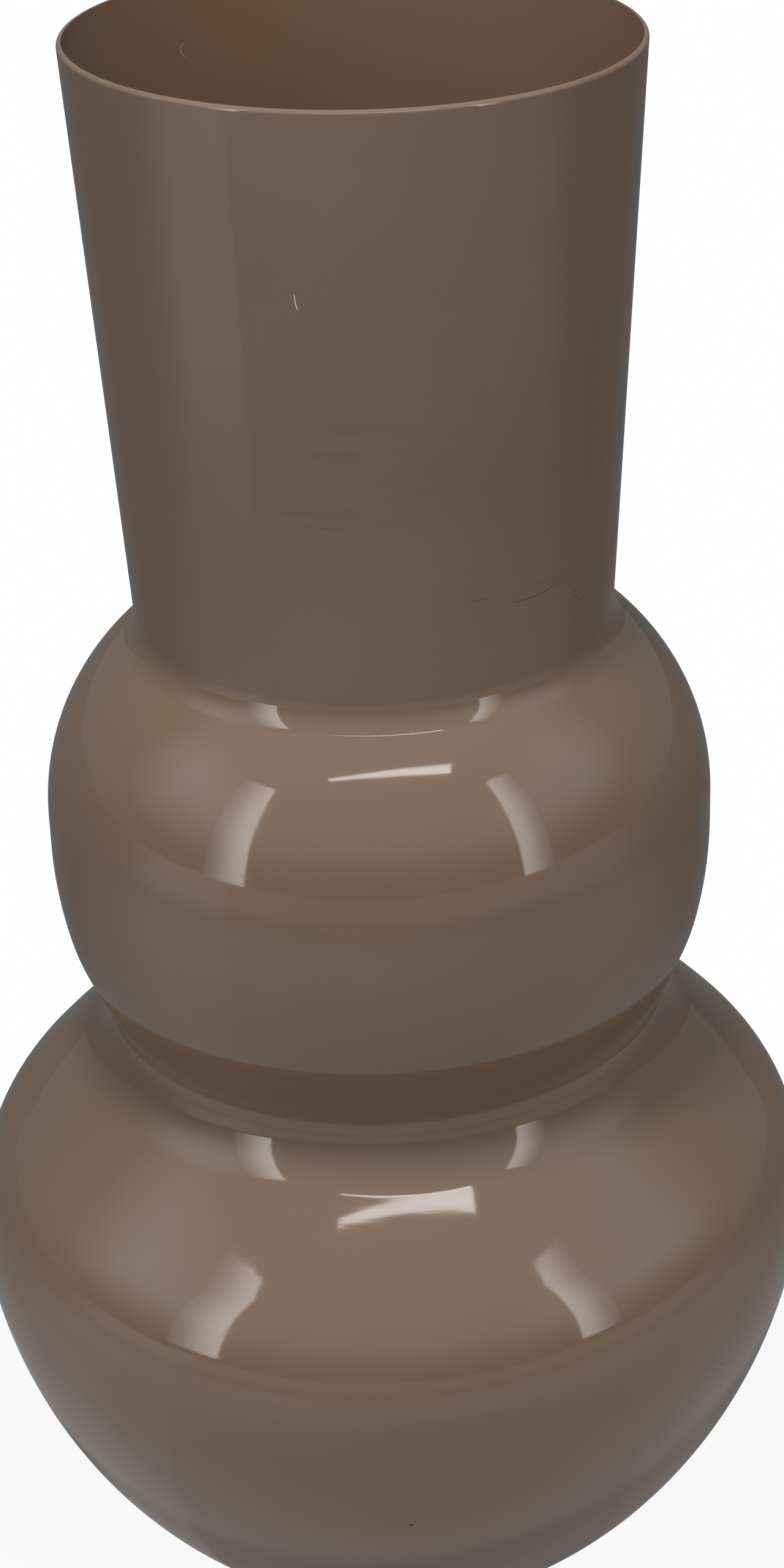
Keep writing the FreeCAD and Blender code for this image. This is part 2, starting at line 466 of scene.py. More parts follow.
@dataclass(frozen=True)
class UpperBulb:
    """The small bulb between the waist and the neck."""

    sheet: Sheet = Sheet()
    radius: float = 80.7 * MM
    top_curve: float = 55.9 * MM
    band: float = 7.6 * MM
    flank_curve: float = 105.0 * MM
    flank_lean: float = 12.0
    foot_curve: float = 6.5 * MM
    step: float = 0.6 * MM

    def foot_turn_radius(self) -> float:
        """The radius at which the foot has turned flat.

        Returns:
            The radius.
        """
        inward = normal(-self.flank_lean).x
        return self.radius - self.flank_curve + (self.flank_curve - self.foot_curve) * inward

    def bowl(self, foot_height: float, hole_radius: float) -> list[Stretch]:
        """The stretches below the widest part.

        Args:
            foot_height: The height of the flat foot.
            hole_radius: The radius of the hole in the foot.

        Returns:
            The flank, the rounded foot and its flange.
        """
        centre = spot(self.foot_turn_radius(), foot_height + self.foot_curve)
        foot = Bend(centre, self.foot_curve, -self.flank_lean, DOWN)
        flank_centre = foot.first() - normal(-self.flank_lean) * self.flank_curve
        flank = Bend(flank_centre, self.flank_curve, LEVEL, -self.flank_lean)
        return [flank, foot, Straight(foot.last(), spot(hole_radius, foot_height), DOWN)]

    def crown(self, widest: Vector, neck: "Neck") -> tuple[Straight, list[Stretch]]:
        """The neck's outside, and the stretches from the neck's seam down to the widest part.

        Args:
            widest: The upper end of the bowl's outline.
            neck: The neck, whose sizes set the line above the bulb.

        Returns:
            The neck's straight stretch above its seam, and the crown's stretches.
        """
        band = Straight(widest + spot(0.0, self.band), widest, LEVEL)
        centre = band.start - spot(self.top_curve, 0.0)
        reach = neck.foot_radius - centre.x
        corner = spot(neck.foot_radius, centre.z + math.sqrt(self.top_curve ** 2 - reach ** 2))
        rim = spot(neck.rim_radius, corner.z + neck.length)
        up = (rim - corner).normalized()
        lean = lean_of(Vector((up.z, 0.0, -up.x)))
        tighter = normal(neck.hollow_lean) * (neck.soft_hollow - neck.tight_hollow)
        beside = corner + normal(lean) * neck.soft_hollow - tighter - centre
        half = beside.dot(up)
        apart = self.top_curve + neck.tight_hollow
        climb = math.sqrt(half ** 2 - beside.dot(beside) + apart ** 2) - half
        low_centre = centre + beside + up * climb
        top_lean = lean_of(low_centre - centre)
        soft = Bend(low_centre + tighter, -neck.soft_hollow, lean, neck.hollow_lean)
        tight = Bend(low_centre, -neck.tight_hollow, neck.hollow_lean, top_lean)
        dome = Bend(centre, self.top_curve, top_lean, LEVEL)
        line = Straight(rim, soft.first(), lean)
        neck_line, upstand = line.split(-self.sheet.wall * 2.0 - self.sheet.margin)
        return neck_line, [upstand, soft, tight, dome, band]

    def build(self, crown: list[Stretch], bowl: list[Stretch], neck_line: Straight) -> list[Object]:
        """Builds the two shells.

        Args:
            crown: The crown's stretches.
            bowl: The bowl's stretches.
            neck_line: The neck's outside, behind which the crown's edge stands up.

        Returns:
            The crown and the bowl.
        """
        shell = self.sheet.shell
        return [shell("upper_crown_shell", "upper_bulb_crown", crown, neck_line, self.step),
                shell("upper_bowl_shell", "upper_bulb_bowl", bowl, crown[-1], self.step)]


@dataclass(frozen=True)
class Neck:
    """The tapered tube with the mouth."""

    sheet: Sheet = Sheet()
    rim_radius: float = 65.0 * MM
    foot_radius: float = 56.7 * MM
    length: float = 141.85 * MM
    soft_hollow: float = 11.0 * MM
    tight_hollow: float = 4.5 * MM
    hollow_lean: float = 40.0
    outer_round_share: float = 0.83
    inner_round_share: float = 0.13
    lip_steps: int = 10

    def build(self, line: Straight) -> Object:
        """Builds the tube. Its mouth is cut level, well rounded outside and barely broken inside.

        Args:
            line: The tube's outside, from the rim to the seam.

        Returns:
            The tube.
        """
        wall = self.sheet.wall
        outer = wall * self.outer_round_share
        inner = wall * self.inner_round_share
        rim, across = line.start, normal(line.lean)
        outer_centre = self.inside_corner(rim, line.lean, outer, -1.0)
        inner_centre = self.inside_corner(line.at_height(rim.z, wall), line.lean, inner, 1.0)
        outside = Straight(outer_centre + across * outer, line.end, line.lean)
        inside = Straight(inner_centre + across * (wall - inner), line.end, line.lean)
        lathe = Lathe(inner_centre + spot(0.0, inner))
        lathe.line_to(outer_centre + spot(0.0, outer))
        lathe.arc(outer_centre, QUARTER_TURN - line.lean, self.lip_steps).follow(outside)
        lathe.line_to(line.last(wall)).follow(inside, wall, upward=True)
        lathe.arc(inner_centre, QUARTER_TURN + line.lean, self.lip_steps // 2)
        return lathe.spin("neck_shell", "neck")

    @staticmethod
    def inside_corner(corner: Vector, lean: float, size: float, side: float) -> Vector:
        """The centre of a round that touches the level mouth and one face of the tube.

        Args:
            corner: Where the mouth's plane meets the face.
            lean: The lean of the tube's outside.
            size: The round's radius.
            side: -1 where the sheet lies inward of the face, 1 where it lies outward.

        Returns:
            The centre.
        """
        face = normal(lean) * side
        return corner + spot(size * (1.0 + face.z) / face.x, -size)


@dataclass(frozen=True)
class Base:
    """The plate that closes the foot, and the felt under it."""

    sheet: Sheet = Sheet()
    plate: float = 1.5 * MM
    plate_clearance: float = 0.5 * MM
    plate_round: float = 0.4 * MM
    felt_clearance: float = 0.5 * MM
    felt_round: float = 0.6 * MM

    def build(self, flange: Straight) -> tuple[Object, Object]:
        """Builds both discs.

        Args:
            flange: The foot's flange, from its outer to its inner edge.

        Returns:
            The plate and the felt.
        """
        bottom = flange.start.z + self.sheet.wall
        plate = self.disc("foot_plate", "base_plate", flange.start.x - self.plate_clearance,
                          (bottom, bottom + self.plate), self.plate_round)
        felt = self.disc("foot_felt", "felt_disc", flange.end.x - self.felt_clearance,
                         (0.0, bottom), self.felt_round)
        return plate, felt

    @staticmethod
    def disc(name: str, node: str, radius: float, heights: Span, rounding: float) -> Object:
        """A disc about the axis with rounded edges.

        Args:
            name: The object's name.
            node: The CAD node that it stands for.
            radius: The disc's radius.
            heights: The heights of its underside and its top.
            rounding: The radius of both edges.

        Returns:
            The disc's object.
        """
        low, high = heights
        inner = radius - rounding
        lathe = Lathe(spot(0.0, high)).line_to(spot(inner, high))
        lathe.arc(spot(inner, high - rounding), QUARTER_TURN, Lathe.ROUND_STEPS)
        lathe.line_to(spot(radius, low + rounding))
        lathe.arc(spot(inner, low + rounding), QUARTER_TURN, Lathe.ROUND_STEPS)
        return lathe.line_to(spot(0.0, low)).spin(name, node, closed=False)


class Bench:
    """One node tree, with a short way to place a node, set its sockets and link them."""

    def __init__(self, tree: bpy.types.NodeTree) -> None:
        """Keeps the tree to work on."""
        self.tree = tree

    def node(self, kind: str, values: dict | None = None, **settings: object) -> bpy.types.Node:
        """Places a node.

        Args:
            kind: The node's type.
            values: Values or output sockets for its inputs, by name or index.
            settings: The node's own properties.

        Returns:
            The node.
        """
        made = self.tree.nodes.new(kind)
        for name, value in settings.items():
            setattr(made, name, value)
        for name, value in (values or {}).items():
            if isinstance(value, Socket):
                self.link(value, made.inputs[name])
            else:
                made.inputs[name].default_value = value
        return made

    def link(self, value: Socket, socket: Socket) -> None:
        """Links an output to an input."""
        self.tree.links.new(value, socket)

    def math(self, operation: str, first: object, second: object = 0.0) -> Socket:
        """The result of a sum of two numbers or sockets."""
        return self.node("ShaderNodeMath", {0: first, 1: second}, operation=operation).outputs[0]

    def remap(self, value: Socket, low: float, high: float, to_low: object = 0.0,
              to_high: object = 1.0, smooth: bool = True) -> Socket:
        """Turns one range of a value into another.

        Args:
            value: The value.
            low: The start of its range.
            high: The end of its range; beyond both the result stays as it is there.
            to_low: The result at the start.
            to_high: The result at the end.
            smooth: Whether the result eases in and out.

        Returns:
            The result.
        """
        values = {"Value": value, "From Min": low, "From Max": high, "To Min": to_low, "To Max": to_high}
        kind = "SMOOTHSTEP" if smooth else "LINEAR"
        return self.node("ShaderNodeMapRange", values, interpolation_type=kind).outputs[0]

    def blend(self, share: object, first: object, second: object) -> Socket:
        """Two colours blended by a share."""
        return self.node("ShaderNodeMix", {0: share, 6: first, 7: second}, data_type="RGBA").outputs[2]

    def noise(self, vector: Socket, scale: object, detail: float = 2.0, rough: float = 0.5) -> Socket:
        """The value of a noise."""
        return self.node("ShaderNodeTexNoise", {"Vector": vector, "Scale": scale, "Detail": detail,
                                                "Roughness": rough}).outputs[0]

    def scaled(self, vector: Socket, scale: object) -> Socket:
        """A vector with each part times that of another."""
        return self.node("ShaderNodeVectorMath", {0: vector, 1: scale}, operation="MULTIPLY").outputs[0]

    def distance(self, place: Socket, middle: object = (0.0, 0.0, 0.0)) -> Socket:
        """How far a place is from a middle."""
        return self.node("ShaderNodeVectorMath", {0: place, 1: middle},
                         operation="DISTANCE").outputs["Value"]

    def joined(self, *parts: Socket) -> Socket:
        """A vector made of its three parts."""
        return self.node("ShaderNodeCombineXYZ", dict(enumerate(parts))).outputs[0]

    def split(self, vector: Socket) -> Sockets:
        """The three parts of a vector, by name."""
        return self.node("ShaderNodeSeparateXYZ", {0: vector}).outputs

    def bump(self, height: Socket, size: Span) -> bpy.types.Node:
        """A bump node for a height, with its strength and its distance."""
        return self.node("ShaderNodeBump", {"Strength": size[0], "Distance": size[1], "Height": height})


class Effect(Enum):
    """The shared effects, each a node group that is built once."""

    STREAKS = "turned_streaks"
    FLOW = "coat_flow"
    SPECKS = "coat_specks"
    MARK = "small_mark"

    def tree(self) -> bpy.types.NodeTree:
        """Finds the effect's node group, or builds it.

        Returns:
            The group.
        """
        if self.value not in bpy.data.node_groups:
            {Effect.STREAKS: build_streaks, Effect.FLOW: build_flow,
             Effect.SPECKS: build_specks, Effect.MARK: build_mark}[self]()
        return bpy.data.node_groups[self.value]


def new_group(effect: Effect, inputs: dict[str, float],
              outputs: list[str]) -> tuple[Bench, Sockets, Sockets]:
    """Starts the node group of an effect.

    Args:
        effect: The effect.
        inputs: Number inputs and their defaults; every group also has a Vector input.
        outputs: The names of its outputs, all numbers.

    Returns:
        The bench of the group's tree, its inputs and its outputs, by name.
    """
    tree = bpy.data.node_groups.new(effect.value, "ShaderNodeTree")
    tree.interface.new_socket("Vector", in_out="INPUT", socket_type="NodeSocketVector")
    for key, value in inputs.items():
        socket = tree.interface.new_socket(key, in_out="INPUT", socket_type="NodeSocketFloat")
        socket.default_value = value
    for key in outputs:
        tree.interface.new_socket(key, in_out="OUTPUT", socket_type="NodeSocketFloat")
    bench = Bench(tree)
    return bench, bench.node("NodeGroupInput").outputs, bench.node("NodeGroupOutput").inputs


def new_finish(name: str) -> tuple[bpy.types.Material, Bench, bpy.types.Node, Socket]:
    """Starts a material.

    Args:
        name: The material's name.

    Returns:
        The material, the bench of its tree, its Principled node and its Object coordinates.
    """
    made = bpy.data.materials.new(name)
    made.use_nodes = True
    bench = Bench(made.node_tree)
    place = bench.node("ShaderNodeTexCoord").outputs["Object"]
    return made, bench, made.node_tree.nodes["Principled BSDF"], place


def build_streaks() -> None:
    """Short level streaks of a turned surface: a fine set broken up by a broad one."""
    bench, given, out = new_group(Effect.STREAKS, {"Around": 40.0, "Up": 900.0}, ["Streak", "Height"])
    scale = bench.joined(given["Around"], given["Around"], given["Up"])
    fine = bench.noise(bench.scaled(given["Vector"], scale), 1.0, detail=3.0, rough=0.6)
    broad = bench.noise(bench.scaled(given["Vector"], (30.0, 30.0, 120.0)), 1.0)
    streak = bench.math("MULTIPLY", bench.remap(fine, low=0.42, high=0.72),
                        bench.remap(broad, low=0.35, high=0.7))
    bench.link(streak, out["Streak"])
    bench.link(fine, out["Height"])


def build_flow() -> None:
    """The slow unevenness of a thick coat, with small ripples and the sheet's faint rings under it."""
    inputs = {"Waves": 30.0, "Ripples": 110.0, "Ripple Share": 0.30,
              "Across Rings": 7.0, "Rings": 260.0, "Ring Share": 0.12}
    bench, given, out = new_group(Effect.FLOW, inputs, ["Height"])
    waves = bench.noise(given["Vector"], given["Waves"], detail=1.0)
    ripples = bench.noise(given["Vector"], given["Ripples"], detail=1.0)
    scale = bench.joined(given["Across Rings"], given["Across Rings"], given["Rings"])
    rings = bench.noise(bench.scaled(given["Vector"], scale), 1.0, detail=1.0)
    small = bench.math("ADD", bench.math("MULTIPLY", ripples, given["Ripple Share"]),
                       bench.math("MULTIPLY", rings, given["Ring Share"]))
    bench.link(bench.math("ADD", waves, small), out["Height"])


def build_specks() -> None:
    """Sparse round dust specks that the coat closed over."""
    inputs = {"Scale": 90.0, "Size": 0.05, "Share": 0.04}
    bench, given, out = new_group(Effect.SPECKS, inputs, ["Speck"])
    cells = bench.node("ShaderNodeTexVoronoi", {"Vector": given["Vector"], "Scale": given["Scale"]})
    near = bench.math("LESS_THAN", cells.outputs["Distance"], given["Size"])
    chosen = bench.node("ShaderNodeSeparateColor", {0: cells.outputs["Color"]}).outputs[0]
    rare = bench.math("LESS_THAN", chosen, given["Share"])
    bench.link(bench.math("MULTIPLY", near, rare), out["Speck"])


def build_mark() -> None:
    """A hair-fine curved mark: the part of a ring that lies near one place."""
    inputs = {key: 0.0 for key in Mark.MIDDLE + Mark.PART} | {"Radius": 2.0, "Width": 0.1, "Reach": 2.0}
    bench, given, out = new_group(Effect.MARK, inputs, ["Mark"])
    place = bench.scaled(given["Vector"], (1.0 / MM, 1.0 / MM, 1.0 / MM))
    apart, aside = (bench.distance(place, bench.joined(*(given[key] for key in keys)))
                    for keys in (Mark.MIDDLE, Mark.PART))
    off_ring = bench.math("ABSOLUTE", bench.math("SUBTRACT", apart, given["Radius"]))
    on_ring = bench.math("LESS_THAN", off_ring, given["Width"])
    in_reach = bench.math("LESS_THAN", aside, given["Reach"])
    bench.link(bench.math("MULTIPLY", on_ring, in_reach), out["Mark"])


@dataclass(frozen=True)
class Mark:
    """A small curved mark, drawn as part of a ring. Its lengths are in millimetres."""

    MIDDLE = ("X", "Y", "Z")
    PART = ("Part X", "Part Y", "Part Z")

    middle: Place
    radius: float
    width: float
    part: Place
    reach: float
    tone: Colour

    def values(self) -> dict[str, float]:
        """The mark as the values of its effect.

        Returns:
            The values by the names of the effect's sockets.
        """
        places = dict(zip(self.MIDDLE + self.PART, self.middle + self.part))
        return places | {"Radius": self.radius, "Width": self.width, "Reach": self.reach}


@dataclass(frozen=True)
class Smear:
    """A place where the streaks are stronger: its middle, its reach and its strength."""

    place: Place
    reach: float
    strength: float


@dataclass(frozen=True)
class Enamel:
    """One glossy taupe coat over everything, inside and out, with a reddish painted reflection inside
    the mouth.
    """

    name: str = "enamel"
    base: Colour = (0.152, 0.0965, 0.0620, 1.0)
    deep: Colour = (0.124, 0.0785, 0.0490, 1.0)
    # Colour of a painted warm reflection: a reddish patch inside the mouth, near the rim.
    painted_reflection: Colour = (0.150, 0.074, 0.034, 1.0)
    speck: Colour = (0.020, 0.014, 0.010, 1.0)
    roughness: float = 0.055
    streak_roughness: float = 0.05
    streaks_up: float = 950.0
    even_streaks: float = 0.06
    mottle_scale: float = 18.0
    mottle_edge: Span = (0.35, 0.70)
    mottle_share: float = 0.25
    painted_reflection_place: Place = (-0.035, 0.052, 0.380)
    painted_reflection_edge: Span = (0.045, 0.010)
    painted_reflection_share: float = 0.35
    smear_core: float = 0.3
    wave_bump: Span = (0.12, 0.0005)
    fine_bump: Span = (0.04, 0.0001)
    smears: tuple[Smear, ...] = (
        Smear((-0.001, -0.060, 0.316), 0.032, 0.75),
        Smear((0.039, -0.043, 0.281), 0.013, 1.0),
        Smear((-0.031, -0.049, 0.276), 0.012, 0.9),
    )
    marks: tuple[Mark, ...] = (
        # The first mark is a pale golden ring inside the mouth, beside the painted reflection.
        Mark((-39.5, 48.8, 383.9), 1.7, 0.10, (-41.0, 47.5, 383.9), 2.2, (0.30, 0.23, 0.16, 1.0)),
        Mark((-4.4, -62.5, 360.0), 10.2, 0.10, (-14.4, -60.9, 358.4), 1.7, (0.55, 0.50, 0.44, 1.0)),
        Mark((36.0, -49.0, 322.0), 39.5, 0.09, (36.0, -45.6, 282.5), 6.5, (0.060, 0.040, 0.028, 1.0)),
        Mark((24.0, -56.0, 326.0), 40.5, 0.08, (23.5, -53.3, 285.6), 2.5, (0.070, 0.046, 0.032, 1.0)),
        Mark((45.6, -35.6, 278.4), 1.1, 0.10, (45.2, -36.2, 278.2), 1.4, (0.050, 0.034, 0.024, 1.0)),
        Mark((46.8, -34.0, 277.2), 1.4, 0.09, (46.8, -34.0, 276.2), 1.5, (0.050, 0.034, 0.024, 1.0)),
    )

    def build(self) -> bpy.types.Material:
        """Makes the material.

        Returns:
            The material.
        """
        made, bench, shader, place = new_finish(self.name)
        streaks = self.effect(bench, Effect.STREAKS, place, {"Up": self.streaks_up})
        flow = self.effect(bench, Effect.FLOW, place)
        streak = streaks["Streak"]

        mottle = bench.remap(bench.noise(place, self.mottle_scale, detail=3.0), *self.mottle_edge)
        colour = bench.blend(bench.math("MULTIPLY", mottle, self.mottle_share), self.base, self.deep)
        strength = self.even_streaks
        for smear in self.smears:
            near = bench.remap(bench.distance(place, smear.place), smear.reach,
                               smear.reach * self.smear_core, 0.0, smear.strength)
            strength = bench.math("MAXIMUM", near, strength)
        colour = bench.blend(bench.math("MULTIPLY", streak, strength), colour, self.deep)
        # Painted reflection: a reddish warm patch inside the mouth, near the rim at the back, not a
        # colour of the coat.
        painted_reflection = bench.distance(place, self.painted_reflection_place)
        painted_reflection = bench.remap(painted_reflection, *self.painted_reflection_edge, 0.0, self.painted_reflection_share)
        colour = bench.blend(painted_reflection, colour, self.painted_reflection)
        colour = bench.blend(self.effect(bench, Effect.SPECKS, place)["Speck"], colour, self.speck)
        for mark in self.marks:
            drawn = self.effect(bench, Effect.MARK, place, mark.values())
            colour = bench.blend(drawn["Mark"], colour, mark.tone)
        bench.link(colour, shader.inputs["Base Color"])

        rough = bench.math("ADD", bench.math("MULTIPLY", streak, self.streak_roughness), self.roughness)
        bench.link(rough, shader.inputs["Roughness"])
        wave = bench.bump(flow["Height"], self.wave_bump)
        fine = bench.bump(streaks["Height"], self.fine_bump)
        bench.link(wave.outputs[0], fine.inputs["Normal"])
        bench.link(fine.outputs[0], shader.inputs["Normal"])
        return made

    @staticmethod
    def effect(bench: Bench, kind: Effect, place: Socket,
               values: dict[str, float] | None = None) -> Sockets:
        """Places a shared effect in the material.

        Args:
            bench: The material's bench.
            kind: The effect.
            place: The coordinates.
            values: What differs from the effect's own values.

        Returns:
            The effect's outputs.
        """
        values = {"Vector": place} | (values or {})
        return bench.node("ShaderNodeGroup", values, node_tree=kind.tree()).outputs


@dataclass(frozen=True)
class Felt:
    """Short dark felt."""

    name: str = "felt"
    base: Colour = (0.045, 0.040, 0.036, 1.0)
    pale: Colour = (0.100, 0.092, 0.084, 1.0)
    roughness: float = 0.95
    sheen: float = 0.4
    fibre_scale: Place = (900.0, 900.0, 900.0)
    fibre_edge: Span = (0.40, 0.75)
    tuft_scale: float = 160.0
    tuft_edge: Span = (0.3, 0.7)
    tuft_share: float = 0.4
    bump: Span = (0.6, 0.0004)

    def build(self) -> bpy.types.Material:
        """Makes the material.

        Returns:
            The material.
        """
        made, bench, shader, place = new_finish(self.name)
        fibres = bench.noise(bench.scaled(place, self.fibre_scale), 1.0, detail=4.0, rough=0.7)
        tufts = bench.remap(bench.noise(place, self.tuft_scale), *self.tuft_edge)
        colour = bench.blend(bench.remap(fibres, *self.fibre_edge), self.base, self.pale)
        colour = bench.blend(bench.math("MULTIPLY", tufts, self.tuft_share), colour, self.base)
        bench.link(colour, shader.inputs["Base Color"])
        shader.inputs["Roughness"].default_value = self.roughness
        shader.inputs["Sheen Weight"].default_value = self.sheen
        bench.link(bench.bump(fibres, self.bump).outputs[0], shader.inputs["Normal"])
        return made


@dataclass(frozen=True)
class Camera:
    """The photograph's viewpoint, found from the vase's outline. The centre is in its pixels."""

    focal: float = 5104.0
    centre: Span = (1063.0, 1038.0)
    pitch: float = 0.4402
    yaw: float = 0.09677
    roll: float = -0.005041
    place: Place = (0.0, -0.6825, 0.5730)
    sensor: float = 36.0
    nearest: float = 0.01

    def build(self) -> None:
        """Makes the camera and gives it to the scene."""
        data = bpy.data.cameras.new("camera")
        data.sensor_fit = "VERTICAL"
        data.sensor_height = self.sensor
        data.lens = self.focal / PHOTO_HEIGHT * self.sensor
        data.shift_x = (PHOTO_WIDTH / 2.0 - self.centre[0]) / PHOTO_HEIGHT
        data.shift_y = (self.centre[1] - PHOTO_HEIGHT / 2.0) / PHOTO_HEIGHT
        data.clip_start = self.nearest
        made = place_object("camera", data)
        level = math.cos(self.pitch)
        forward = Vector((math.sin(self.yaw) * level, math.cos(self.yaw) * level, -math.sin(self.pitch)))
        right = Vector((math.cos(self.yaw), -math.sin(self.yaw), 0.0))
        down = forward.cross(right)
        rolled_right = right * math.cos(self.roll) + down * math.sin(self.roll)
        rolled_down = down * math.cos(self.roll) - right * math.sin(self.roll)
        turned = Matrix((rolled_right, -rolled_down, -forward)).transposed().to_4x4()
        made.matrix_world = Matrix.Translation(self.place) @ turned
        bpy.context.scene.camera = made


class Fade(Enum):
    """Where a lamp's face is dimmer."""

    NONE = "even"
    LEFT = "towards its left side"
    RIGHT = "towards its right side"
    WEDGE = "outside a wedge that narrows to its left"


@dataclass(frozen=True)
class Panel:
    """A soft rectangular lamp that faces a point of the vase."""

    name: str
    place: Place
    width: float
    height: float
    glow: float
    aim: Place = (0.0, 0.0, 0.25)
    fade: Fade = Fade.NONE
    dim: float = 0.12
    mirrored: bool = True

    def build(self) -> None:
        """Makes the lamp. Its power gives its face the brightness that glow names, where white is 1."""
        data = bpy.data.lights.new(self.name, "AREA")
        data.shape = "RECTANGLE"
        data.size = self.width
        data.size_y = self.height
        data.energy = self.glow * math.pi * self.width * self.height
        if self.fade is not Fade.NONE:
            self.shade(data)
        made = place_object(self.name, data)
        made.location = self.place
        made.rotation_euler = (Vector(self.aim) - Vector(self.place)).to_track_quat("-Z", "Y").to_euler()
        made.visible_camera = False
        made.visible_glossy = self.mirrored
        LOG.info("lamp %s", self.name)

    def shade(self, data: bpy.types.Light) -> None:
        """Dims the lamp's face towards one side.

        Args:
            data: The lamp's data.
        """
        data.use_nodes = True
        bench = Bench(data.node_tree)
        face = bench.split(bench.node("ShaderNodeNewGeometry").outputs["Parametric"])
        if self.fade is Fade.WEDGE:
            edge = bench.remap(face["X"], 0.0, 1.0, self.dim, 1.0, smooth=False)
            level = bench.math("LESS_THAN", face["Y"], edge)
        else:
            low, high = (self.dim, 1.0) if self.fade is Fade.LEFT else (1.0, self.dim)
            level = bench.remap(face["X"], 0.0, 1.0, low, high)
        bench.link(level, data.node_tree.nodes["Emission"].inputs["Strength"])


def around(azimuth: float, distance: float, height: float) -> Place:
    """A place in the room, by direction from the vase.

    Args:
        azimuth: Degrees to the right of the camera's side.
        distance: Metres from the vase's axis.
        height: Metres above the floor.

    Returns:
        The place.
    """
    side = math.radians(azimuth)
    return (distance * math.sin(side), -distance * math.cos(side), height)


@dataclass(frozen=True)
class Floor:
    """A pale plane, its paper colour painted darker away from the vase and behind it as painted shade.
    The camera sees it white but for the vase's shadow.

    Mirrored rays see it dark near the vase, paler far away, and with a pool of light to each side.
    Reaches are metres from the vase's axis, and sides are radians from the camera's side.
    """

    size: float = 8.0
    # Paper colours: lit near the vase, and painted shade far away and behind it.
    near: Colour = (0.46, 0.46, 0.46, 1.0)
    far: Colour = (0.26, 0.26, 0.26, 1.0)
    back: Colour = (0.14, 0.14, 0.14, 1.0)
    far_reach: Span = (0.42, 0.66)
    back_edge: Span = (-0.15, 0.25)
    roughness: float = 0.9
    specular: float = 0.1
    white_reach: Span = (0.13, 0.24)
    white: Span = (0.92, 0.995)
    pale_reach: Span = (0.66, 1.00)
    pale: Span = (0.04, 0.28)
    pools: Span = (0.65, 0.30)
    pool_side: Span = (0.86, 0.92)
    pool_reach: Span = (0.50, 0.95)
    pool_start: float = 0.2
    front_side: Span = (1.25, 1.60)

    def build(self) -> None:
        """Makes the plane."""
        mesh = bmesh.new()
        bmesh.ops.create_grid(mesh, x_segments=1, y_segments=1, size=self.size / 2.0)
        data = bpy.data.meshes.new("floor")
        mesh.to_mesh(data)
        mesh.free()
        data.materials.append(self.paper())
        place_object("floor", data)

    def paper(self) -> bpy.types.Material:
        """Makes the plane's finish, matt paper that glows to the camera and to mirrored rays.

        Returns:
            The material.
        """
        made, bench, shader, place = new_finish("floor_paper")
        reach = bench.distance(place)
        along = bench.split(place)
        # Painted shade: the paper's colour darkens away from the vase and behind it, standing in for a
        # dim room's light falling off.
        tone = bench.blend(bench.remap(reach, *self.far_reach), self.near, self.far)
        tone = bench.blend(bench.remap(along["Y"], *self.back_edge), tone, self.back)
        bench.link(tone, shader.inputs["Base Color"])
        shader.inputs["Roughness"].default_value = self.roughness
        shader.inputs["Specular IOR Level"].default_value = self.specular
        path = bench.node("ShaderNodeLightPath").outputs
        white = bench.remap(reach, *self.white_reach, *self.white)
        mirrored = bench.math("MAXIMUM", path["Is Glossy Ray"], path["Is Transmission Ray"])
        seen = bench.math("MAXIMUM", bench.math("MULTIPLY", path["Is Camera Ray"], white),
                          bench.math("MULTIPLY", mirrored, self.reflected(bench, reach, along)))
        glow = bench.node("ShaderNodeEmission", {"Color": WHITE, "Strength": 1.0})
        mix = bench.node("ShaderNodeMixShader", {0: seen, 1: shader.outputs[0], 2: glow.outputs[0]})
        bench.link(mix.outputs[0], made.node_tree.nodes["Material Output"].inputs[0])
        return made

    def reflected(self, bench: Bench, reach: Socket, along: Sockets) -> Socket:
        """The brightness that mirrored rays see.

        Args:
            bench: The bench of the finish.
            reach: The distance from the vase's axis.
            along: The place on the plane.

        Returns:
            The brightness.
        """
        side = bench.math("ARCTAN2", along["X"], bench.math("MULTIPLY", along["Y"], -1.0))
        left, right = (bench.remap(side, sign * self.pool_side[0], sign * self.pool_side[1], 0.0, level)
                       for sign, level in zip((-1.0, 1.0), self.pools))
        pools = bench.math("MULTIPLY", bench.math("MAXIMUM", left, right),
                           bench.remap(reach, *self.pool_reach, self.pool_start, 1.0))
        pale = bench.math("MAXIMUM", pools, bench.remap(reach, *self.pale_reach, *self.pale))
        in_front = bench.remap(bench.math("ABSOLUTE", side), *self.front_side, 1.0, self.pale[0])
        return bench.math("MULTIPLY", pale, in_front)


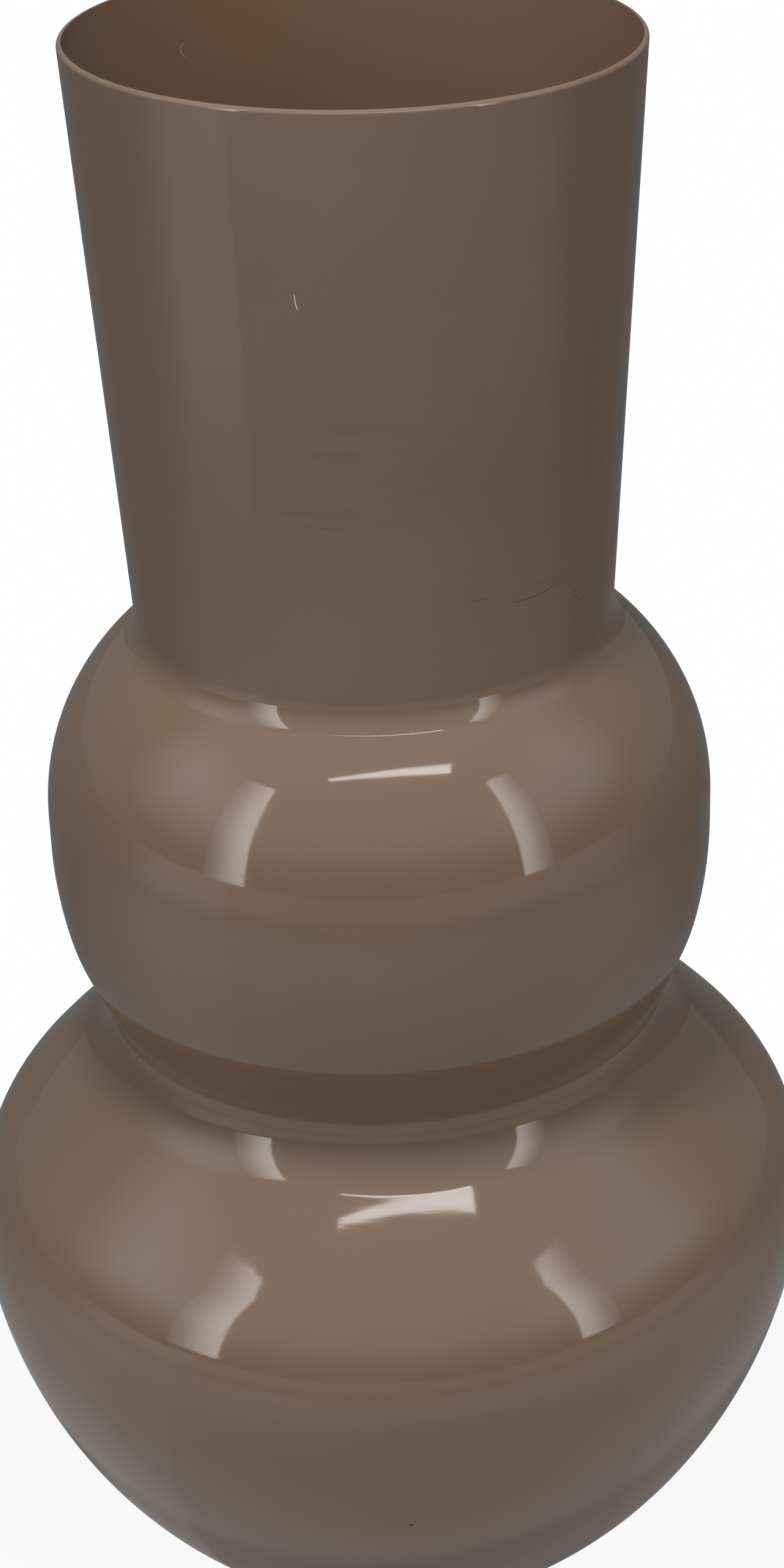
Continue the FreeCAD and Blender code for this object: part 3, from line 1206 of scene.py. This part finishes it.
@dataclass(frozen=True)
class Room:
    """The room's light: dim at the horizon, brighter towards the ceiling, and white to the camera.

    Each edge is the range of a direction's part over which one brightness turns into the next.
    """

    horizon: float = 0.15
    front: float = 0.78
    left: float = 1.50
    right: float = 1.20
    back: float = 0.24
    high: float = 0.90
    side_edge: Span = (0.35, 0.85)
    back_edge: Span = (-0.15, 0.30)
    high_edge: Span = (0.62, 0.85)
    low_edge: Span = (0.0, 0.50)
    cool: Colour = (0.86, 1.0, 1.0, 1.0)

    def build(self) -> None:
        """Makes the world."""
        world = bpy.data.worlds.new("room")
        bpy.context.scene.world = world
        world.use_nodes = True
        bench = Bench(world.node_tree)
        ground = world.node_tree.nodes["Background"]
        way = bench.split(bench.node("ShaderNodeTexCoord").outputs["Generated"])
        start, end = self.side_edge
        side = bench.math("MAXIMUM", bench.remap(way["X"], start, end, self.front, self.right),
                          bench.remap(way["X"], -start, -end, 0.0, self.left))
        behind = bench.remap(way["Y"], *self.back_edge)
        wall = bench.remap(behind, 0.0, 1.0, side, self.back, smooth=False)
        room = bench.remap(way["Z"], *self.high_edge, wall, self.high)
        low = bench.remap(behind, 0.0, 1.0, self.horizon, self.back, smooth=False)
        seen = bench.node("ShaderNodeLightPath").outputs["Is Camera Ray"]
        level = bench.math("MAXIMUM", bench.remap(way["Z"], *self.low_edge, low, room), seen)
        bench.link(level, ground.inputs["Strength"])
        tint = bench.blend(seen, bench.blend(behind, WHITE, self.cool), WHITE)
        bench.link(tint, ground.inputs["Color"])


@dataclass(frozen=True)
class Studio:
    """The floor, the room's light and the lamps."""

    floor: Floor = Floor()
    room: Room = Room()
    lamps: tuple[Panel, ...] = (
        Panel("overhead", (-0.09, -0.25, 1.15), 0.16, 0.16, 66.0, mirrored=False),
        Panel("left_strip", around(-52.0, 1.50, 0.85), 0.37, 1.40, 5.2, (0.0, 0.0, 0.85), Fade.LEFT),
        Panel("right_strip", around(50.0, 1.50, 0.85), 0.28, 1.40, 4.5, (0.0, 0.0, 0.85), Fade.RIGHT),
        Panel("window", (0.03, -0.43, 0.83), 0.48, 0.058, 10.0, (0.0, 0.0, 0.20), Fade.WEDGE, 0.3),
    )

    def build(self) -> None:
        """Makes them all."""
        for part in (self.floor, self.room, *self.lamps):
            part.build()


@dataclass(frozen=True)
class Vase:
    """The whole vase, from its foot to its mouth."""

    lower: LowerBulb = LowerBulb()
    waist: Waist = Waist()
    upper: UpperBulb = UpperBulb()
    neck: Neck = Neck()
    base: Base = Base()

    def build(self) -> None:
        """Builds and dresses every piece."""
        hole = self.waist.hole_radius(self.upper.foot_turn_radius())
        upper_bowl = self.upper.bowl(self.waist.top, hole)
        foot = upper_bowl[1]
        collar, slope = self.waist.outline(self.lower.slope(), foot)
        neck_line, upper_crown = self.upper.crown(upper_bowl[0].first(), self.neck)
        enamelled = [self.neck.build(neck_line)]
        enamelled += self.upper.build(upper_crown, upper_bowl, neck_line)
        enamelled.append(self.waist.build(collar, foot))
        enamelled += self.lower.build(slope, collar[-1])
        plate, felt = self.base.build(self.lower.bowl()[-1])
        coat = Enamel().build()
        for piece in enamelled + [plate]:
            self.dress(piece, coat, "enamel")
        self.dress(felt, Felt().build(), "felt")

    @staticmethod
    def dress(piece: Object, finish: bpy.types.Material, slot: str) -> None:
        """Gives a piece its finish and its body.

        Args:
            piece: The piece.
            finish: Its material.
            slot: Not used.
        """
        piece.data.materials.append(finish)
        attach(piece, "root")
        size = " x ".join(f"{length / MM:.1f}" for length in piece.dimensions)
        LOG.info("piece %s, %s mm, %d faces", piece.name, size, len(piece.data.polygons))


def main() -> None:
    """Builds the vase and its studio."""
    logging.basicConfig(level=logging.INFO, format="%(name)s: %(message)s", stream=sys.stdout)
    bpy.context.scene.view_settings.view_transform = "Standard"
    Camera().build()
    Vase().build()
    Studio().build()
    bpy.context.view_layer.update()


if __name__ == "__main__":
    main()
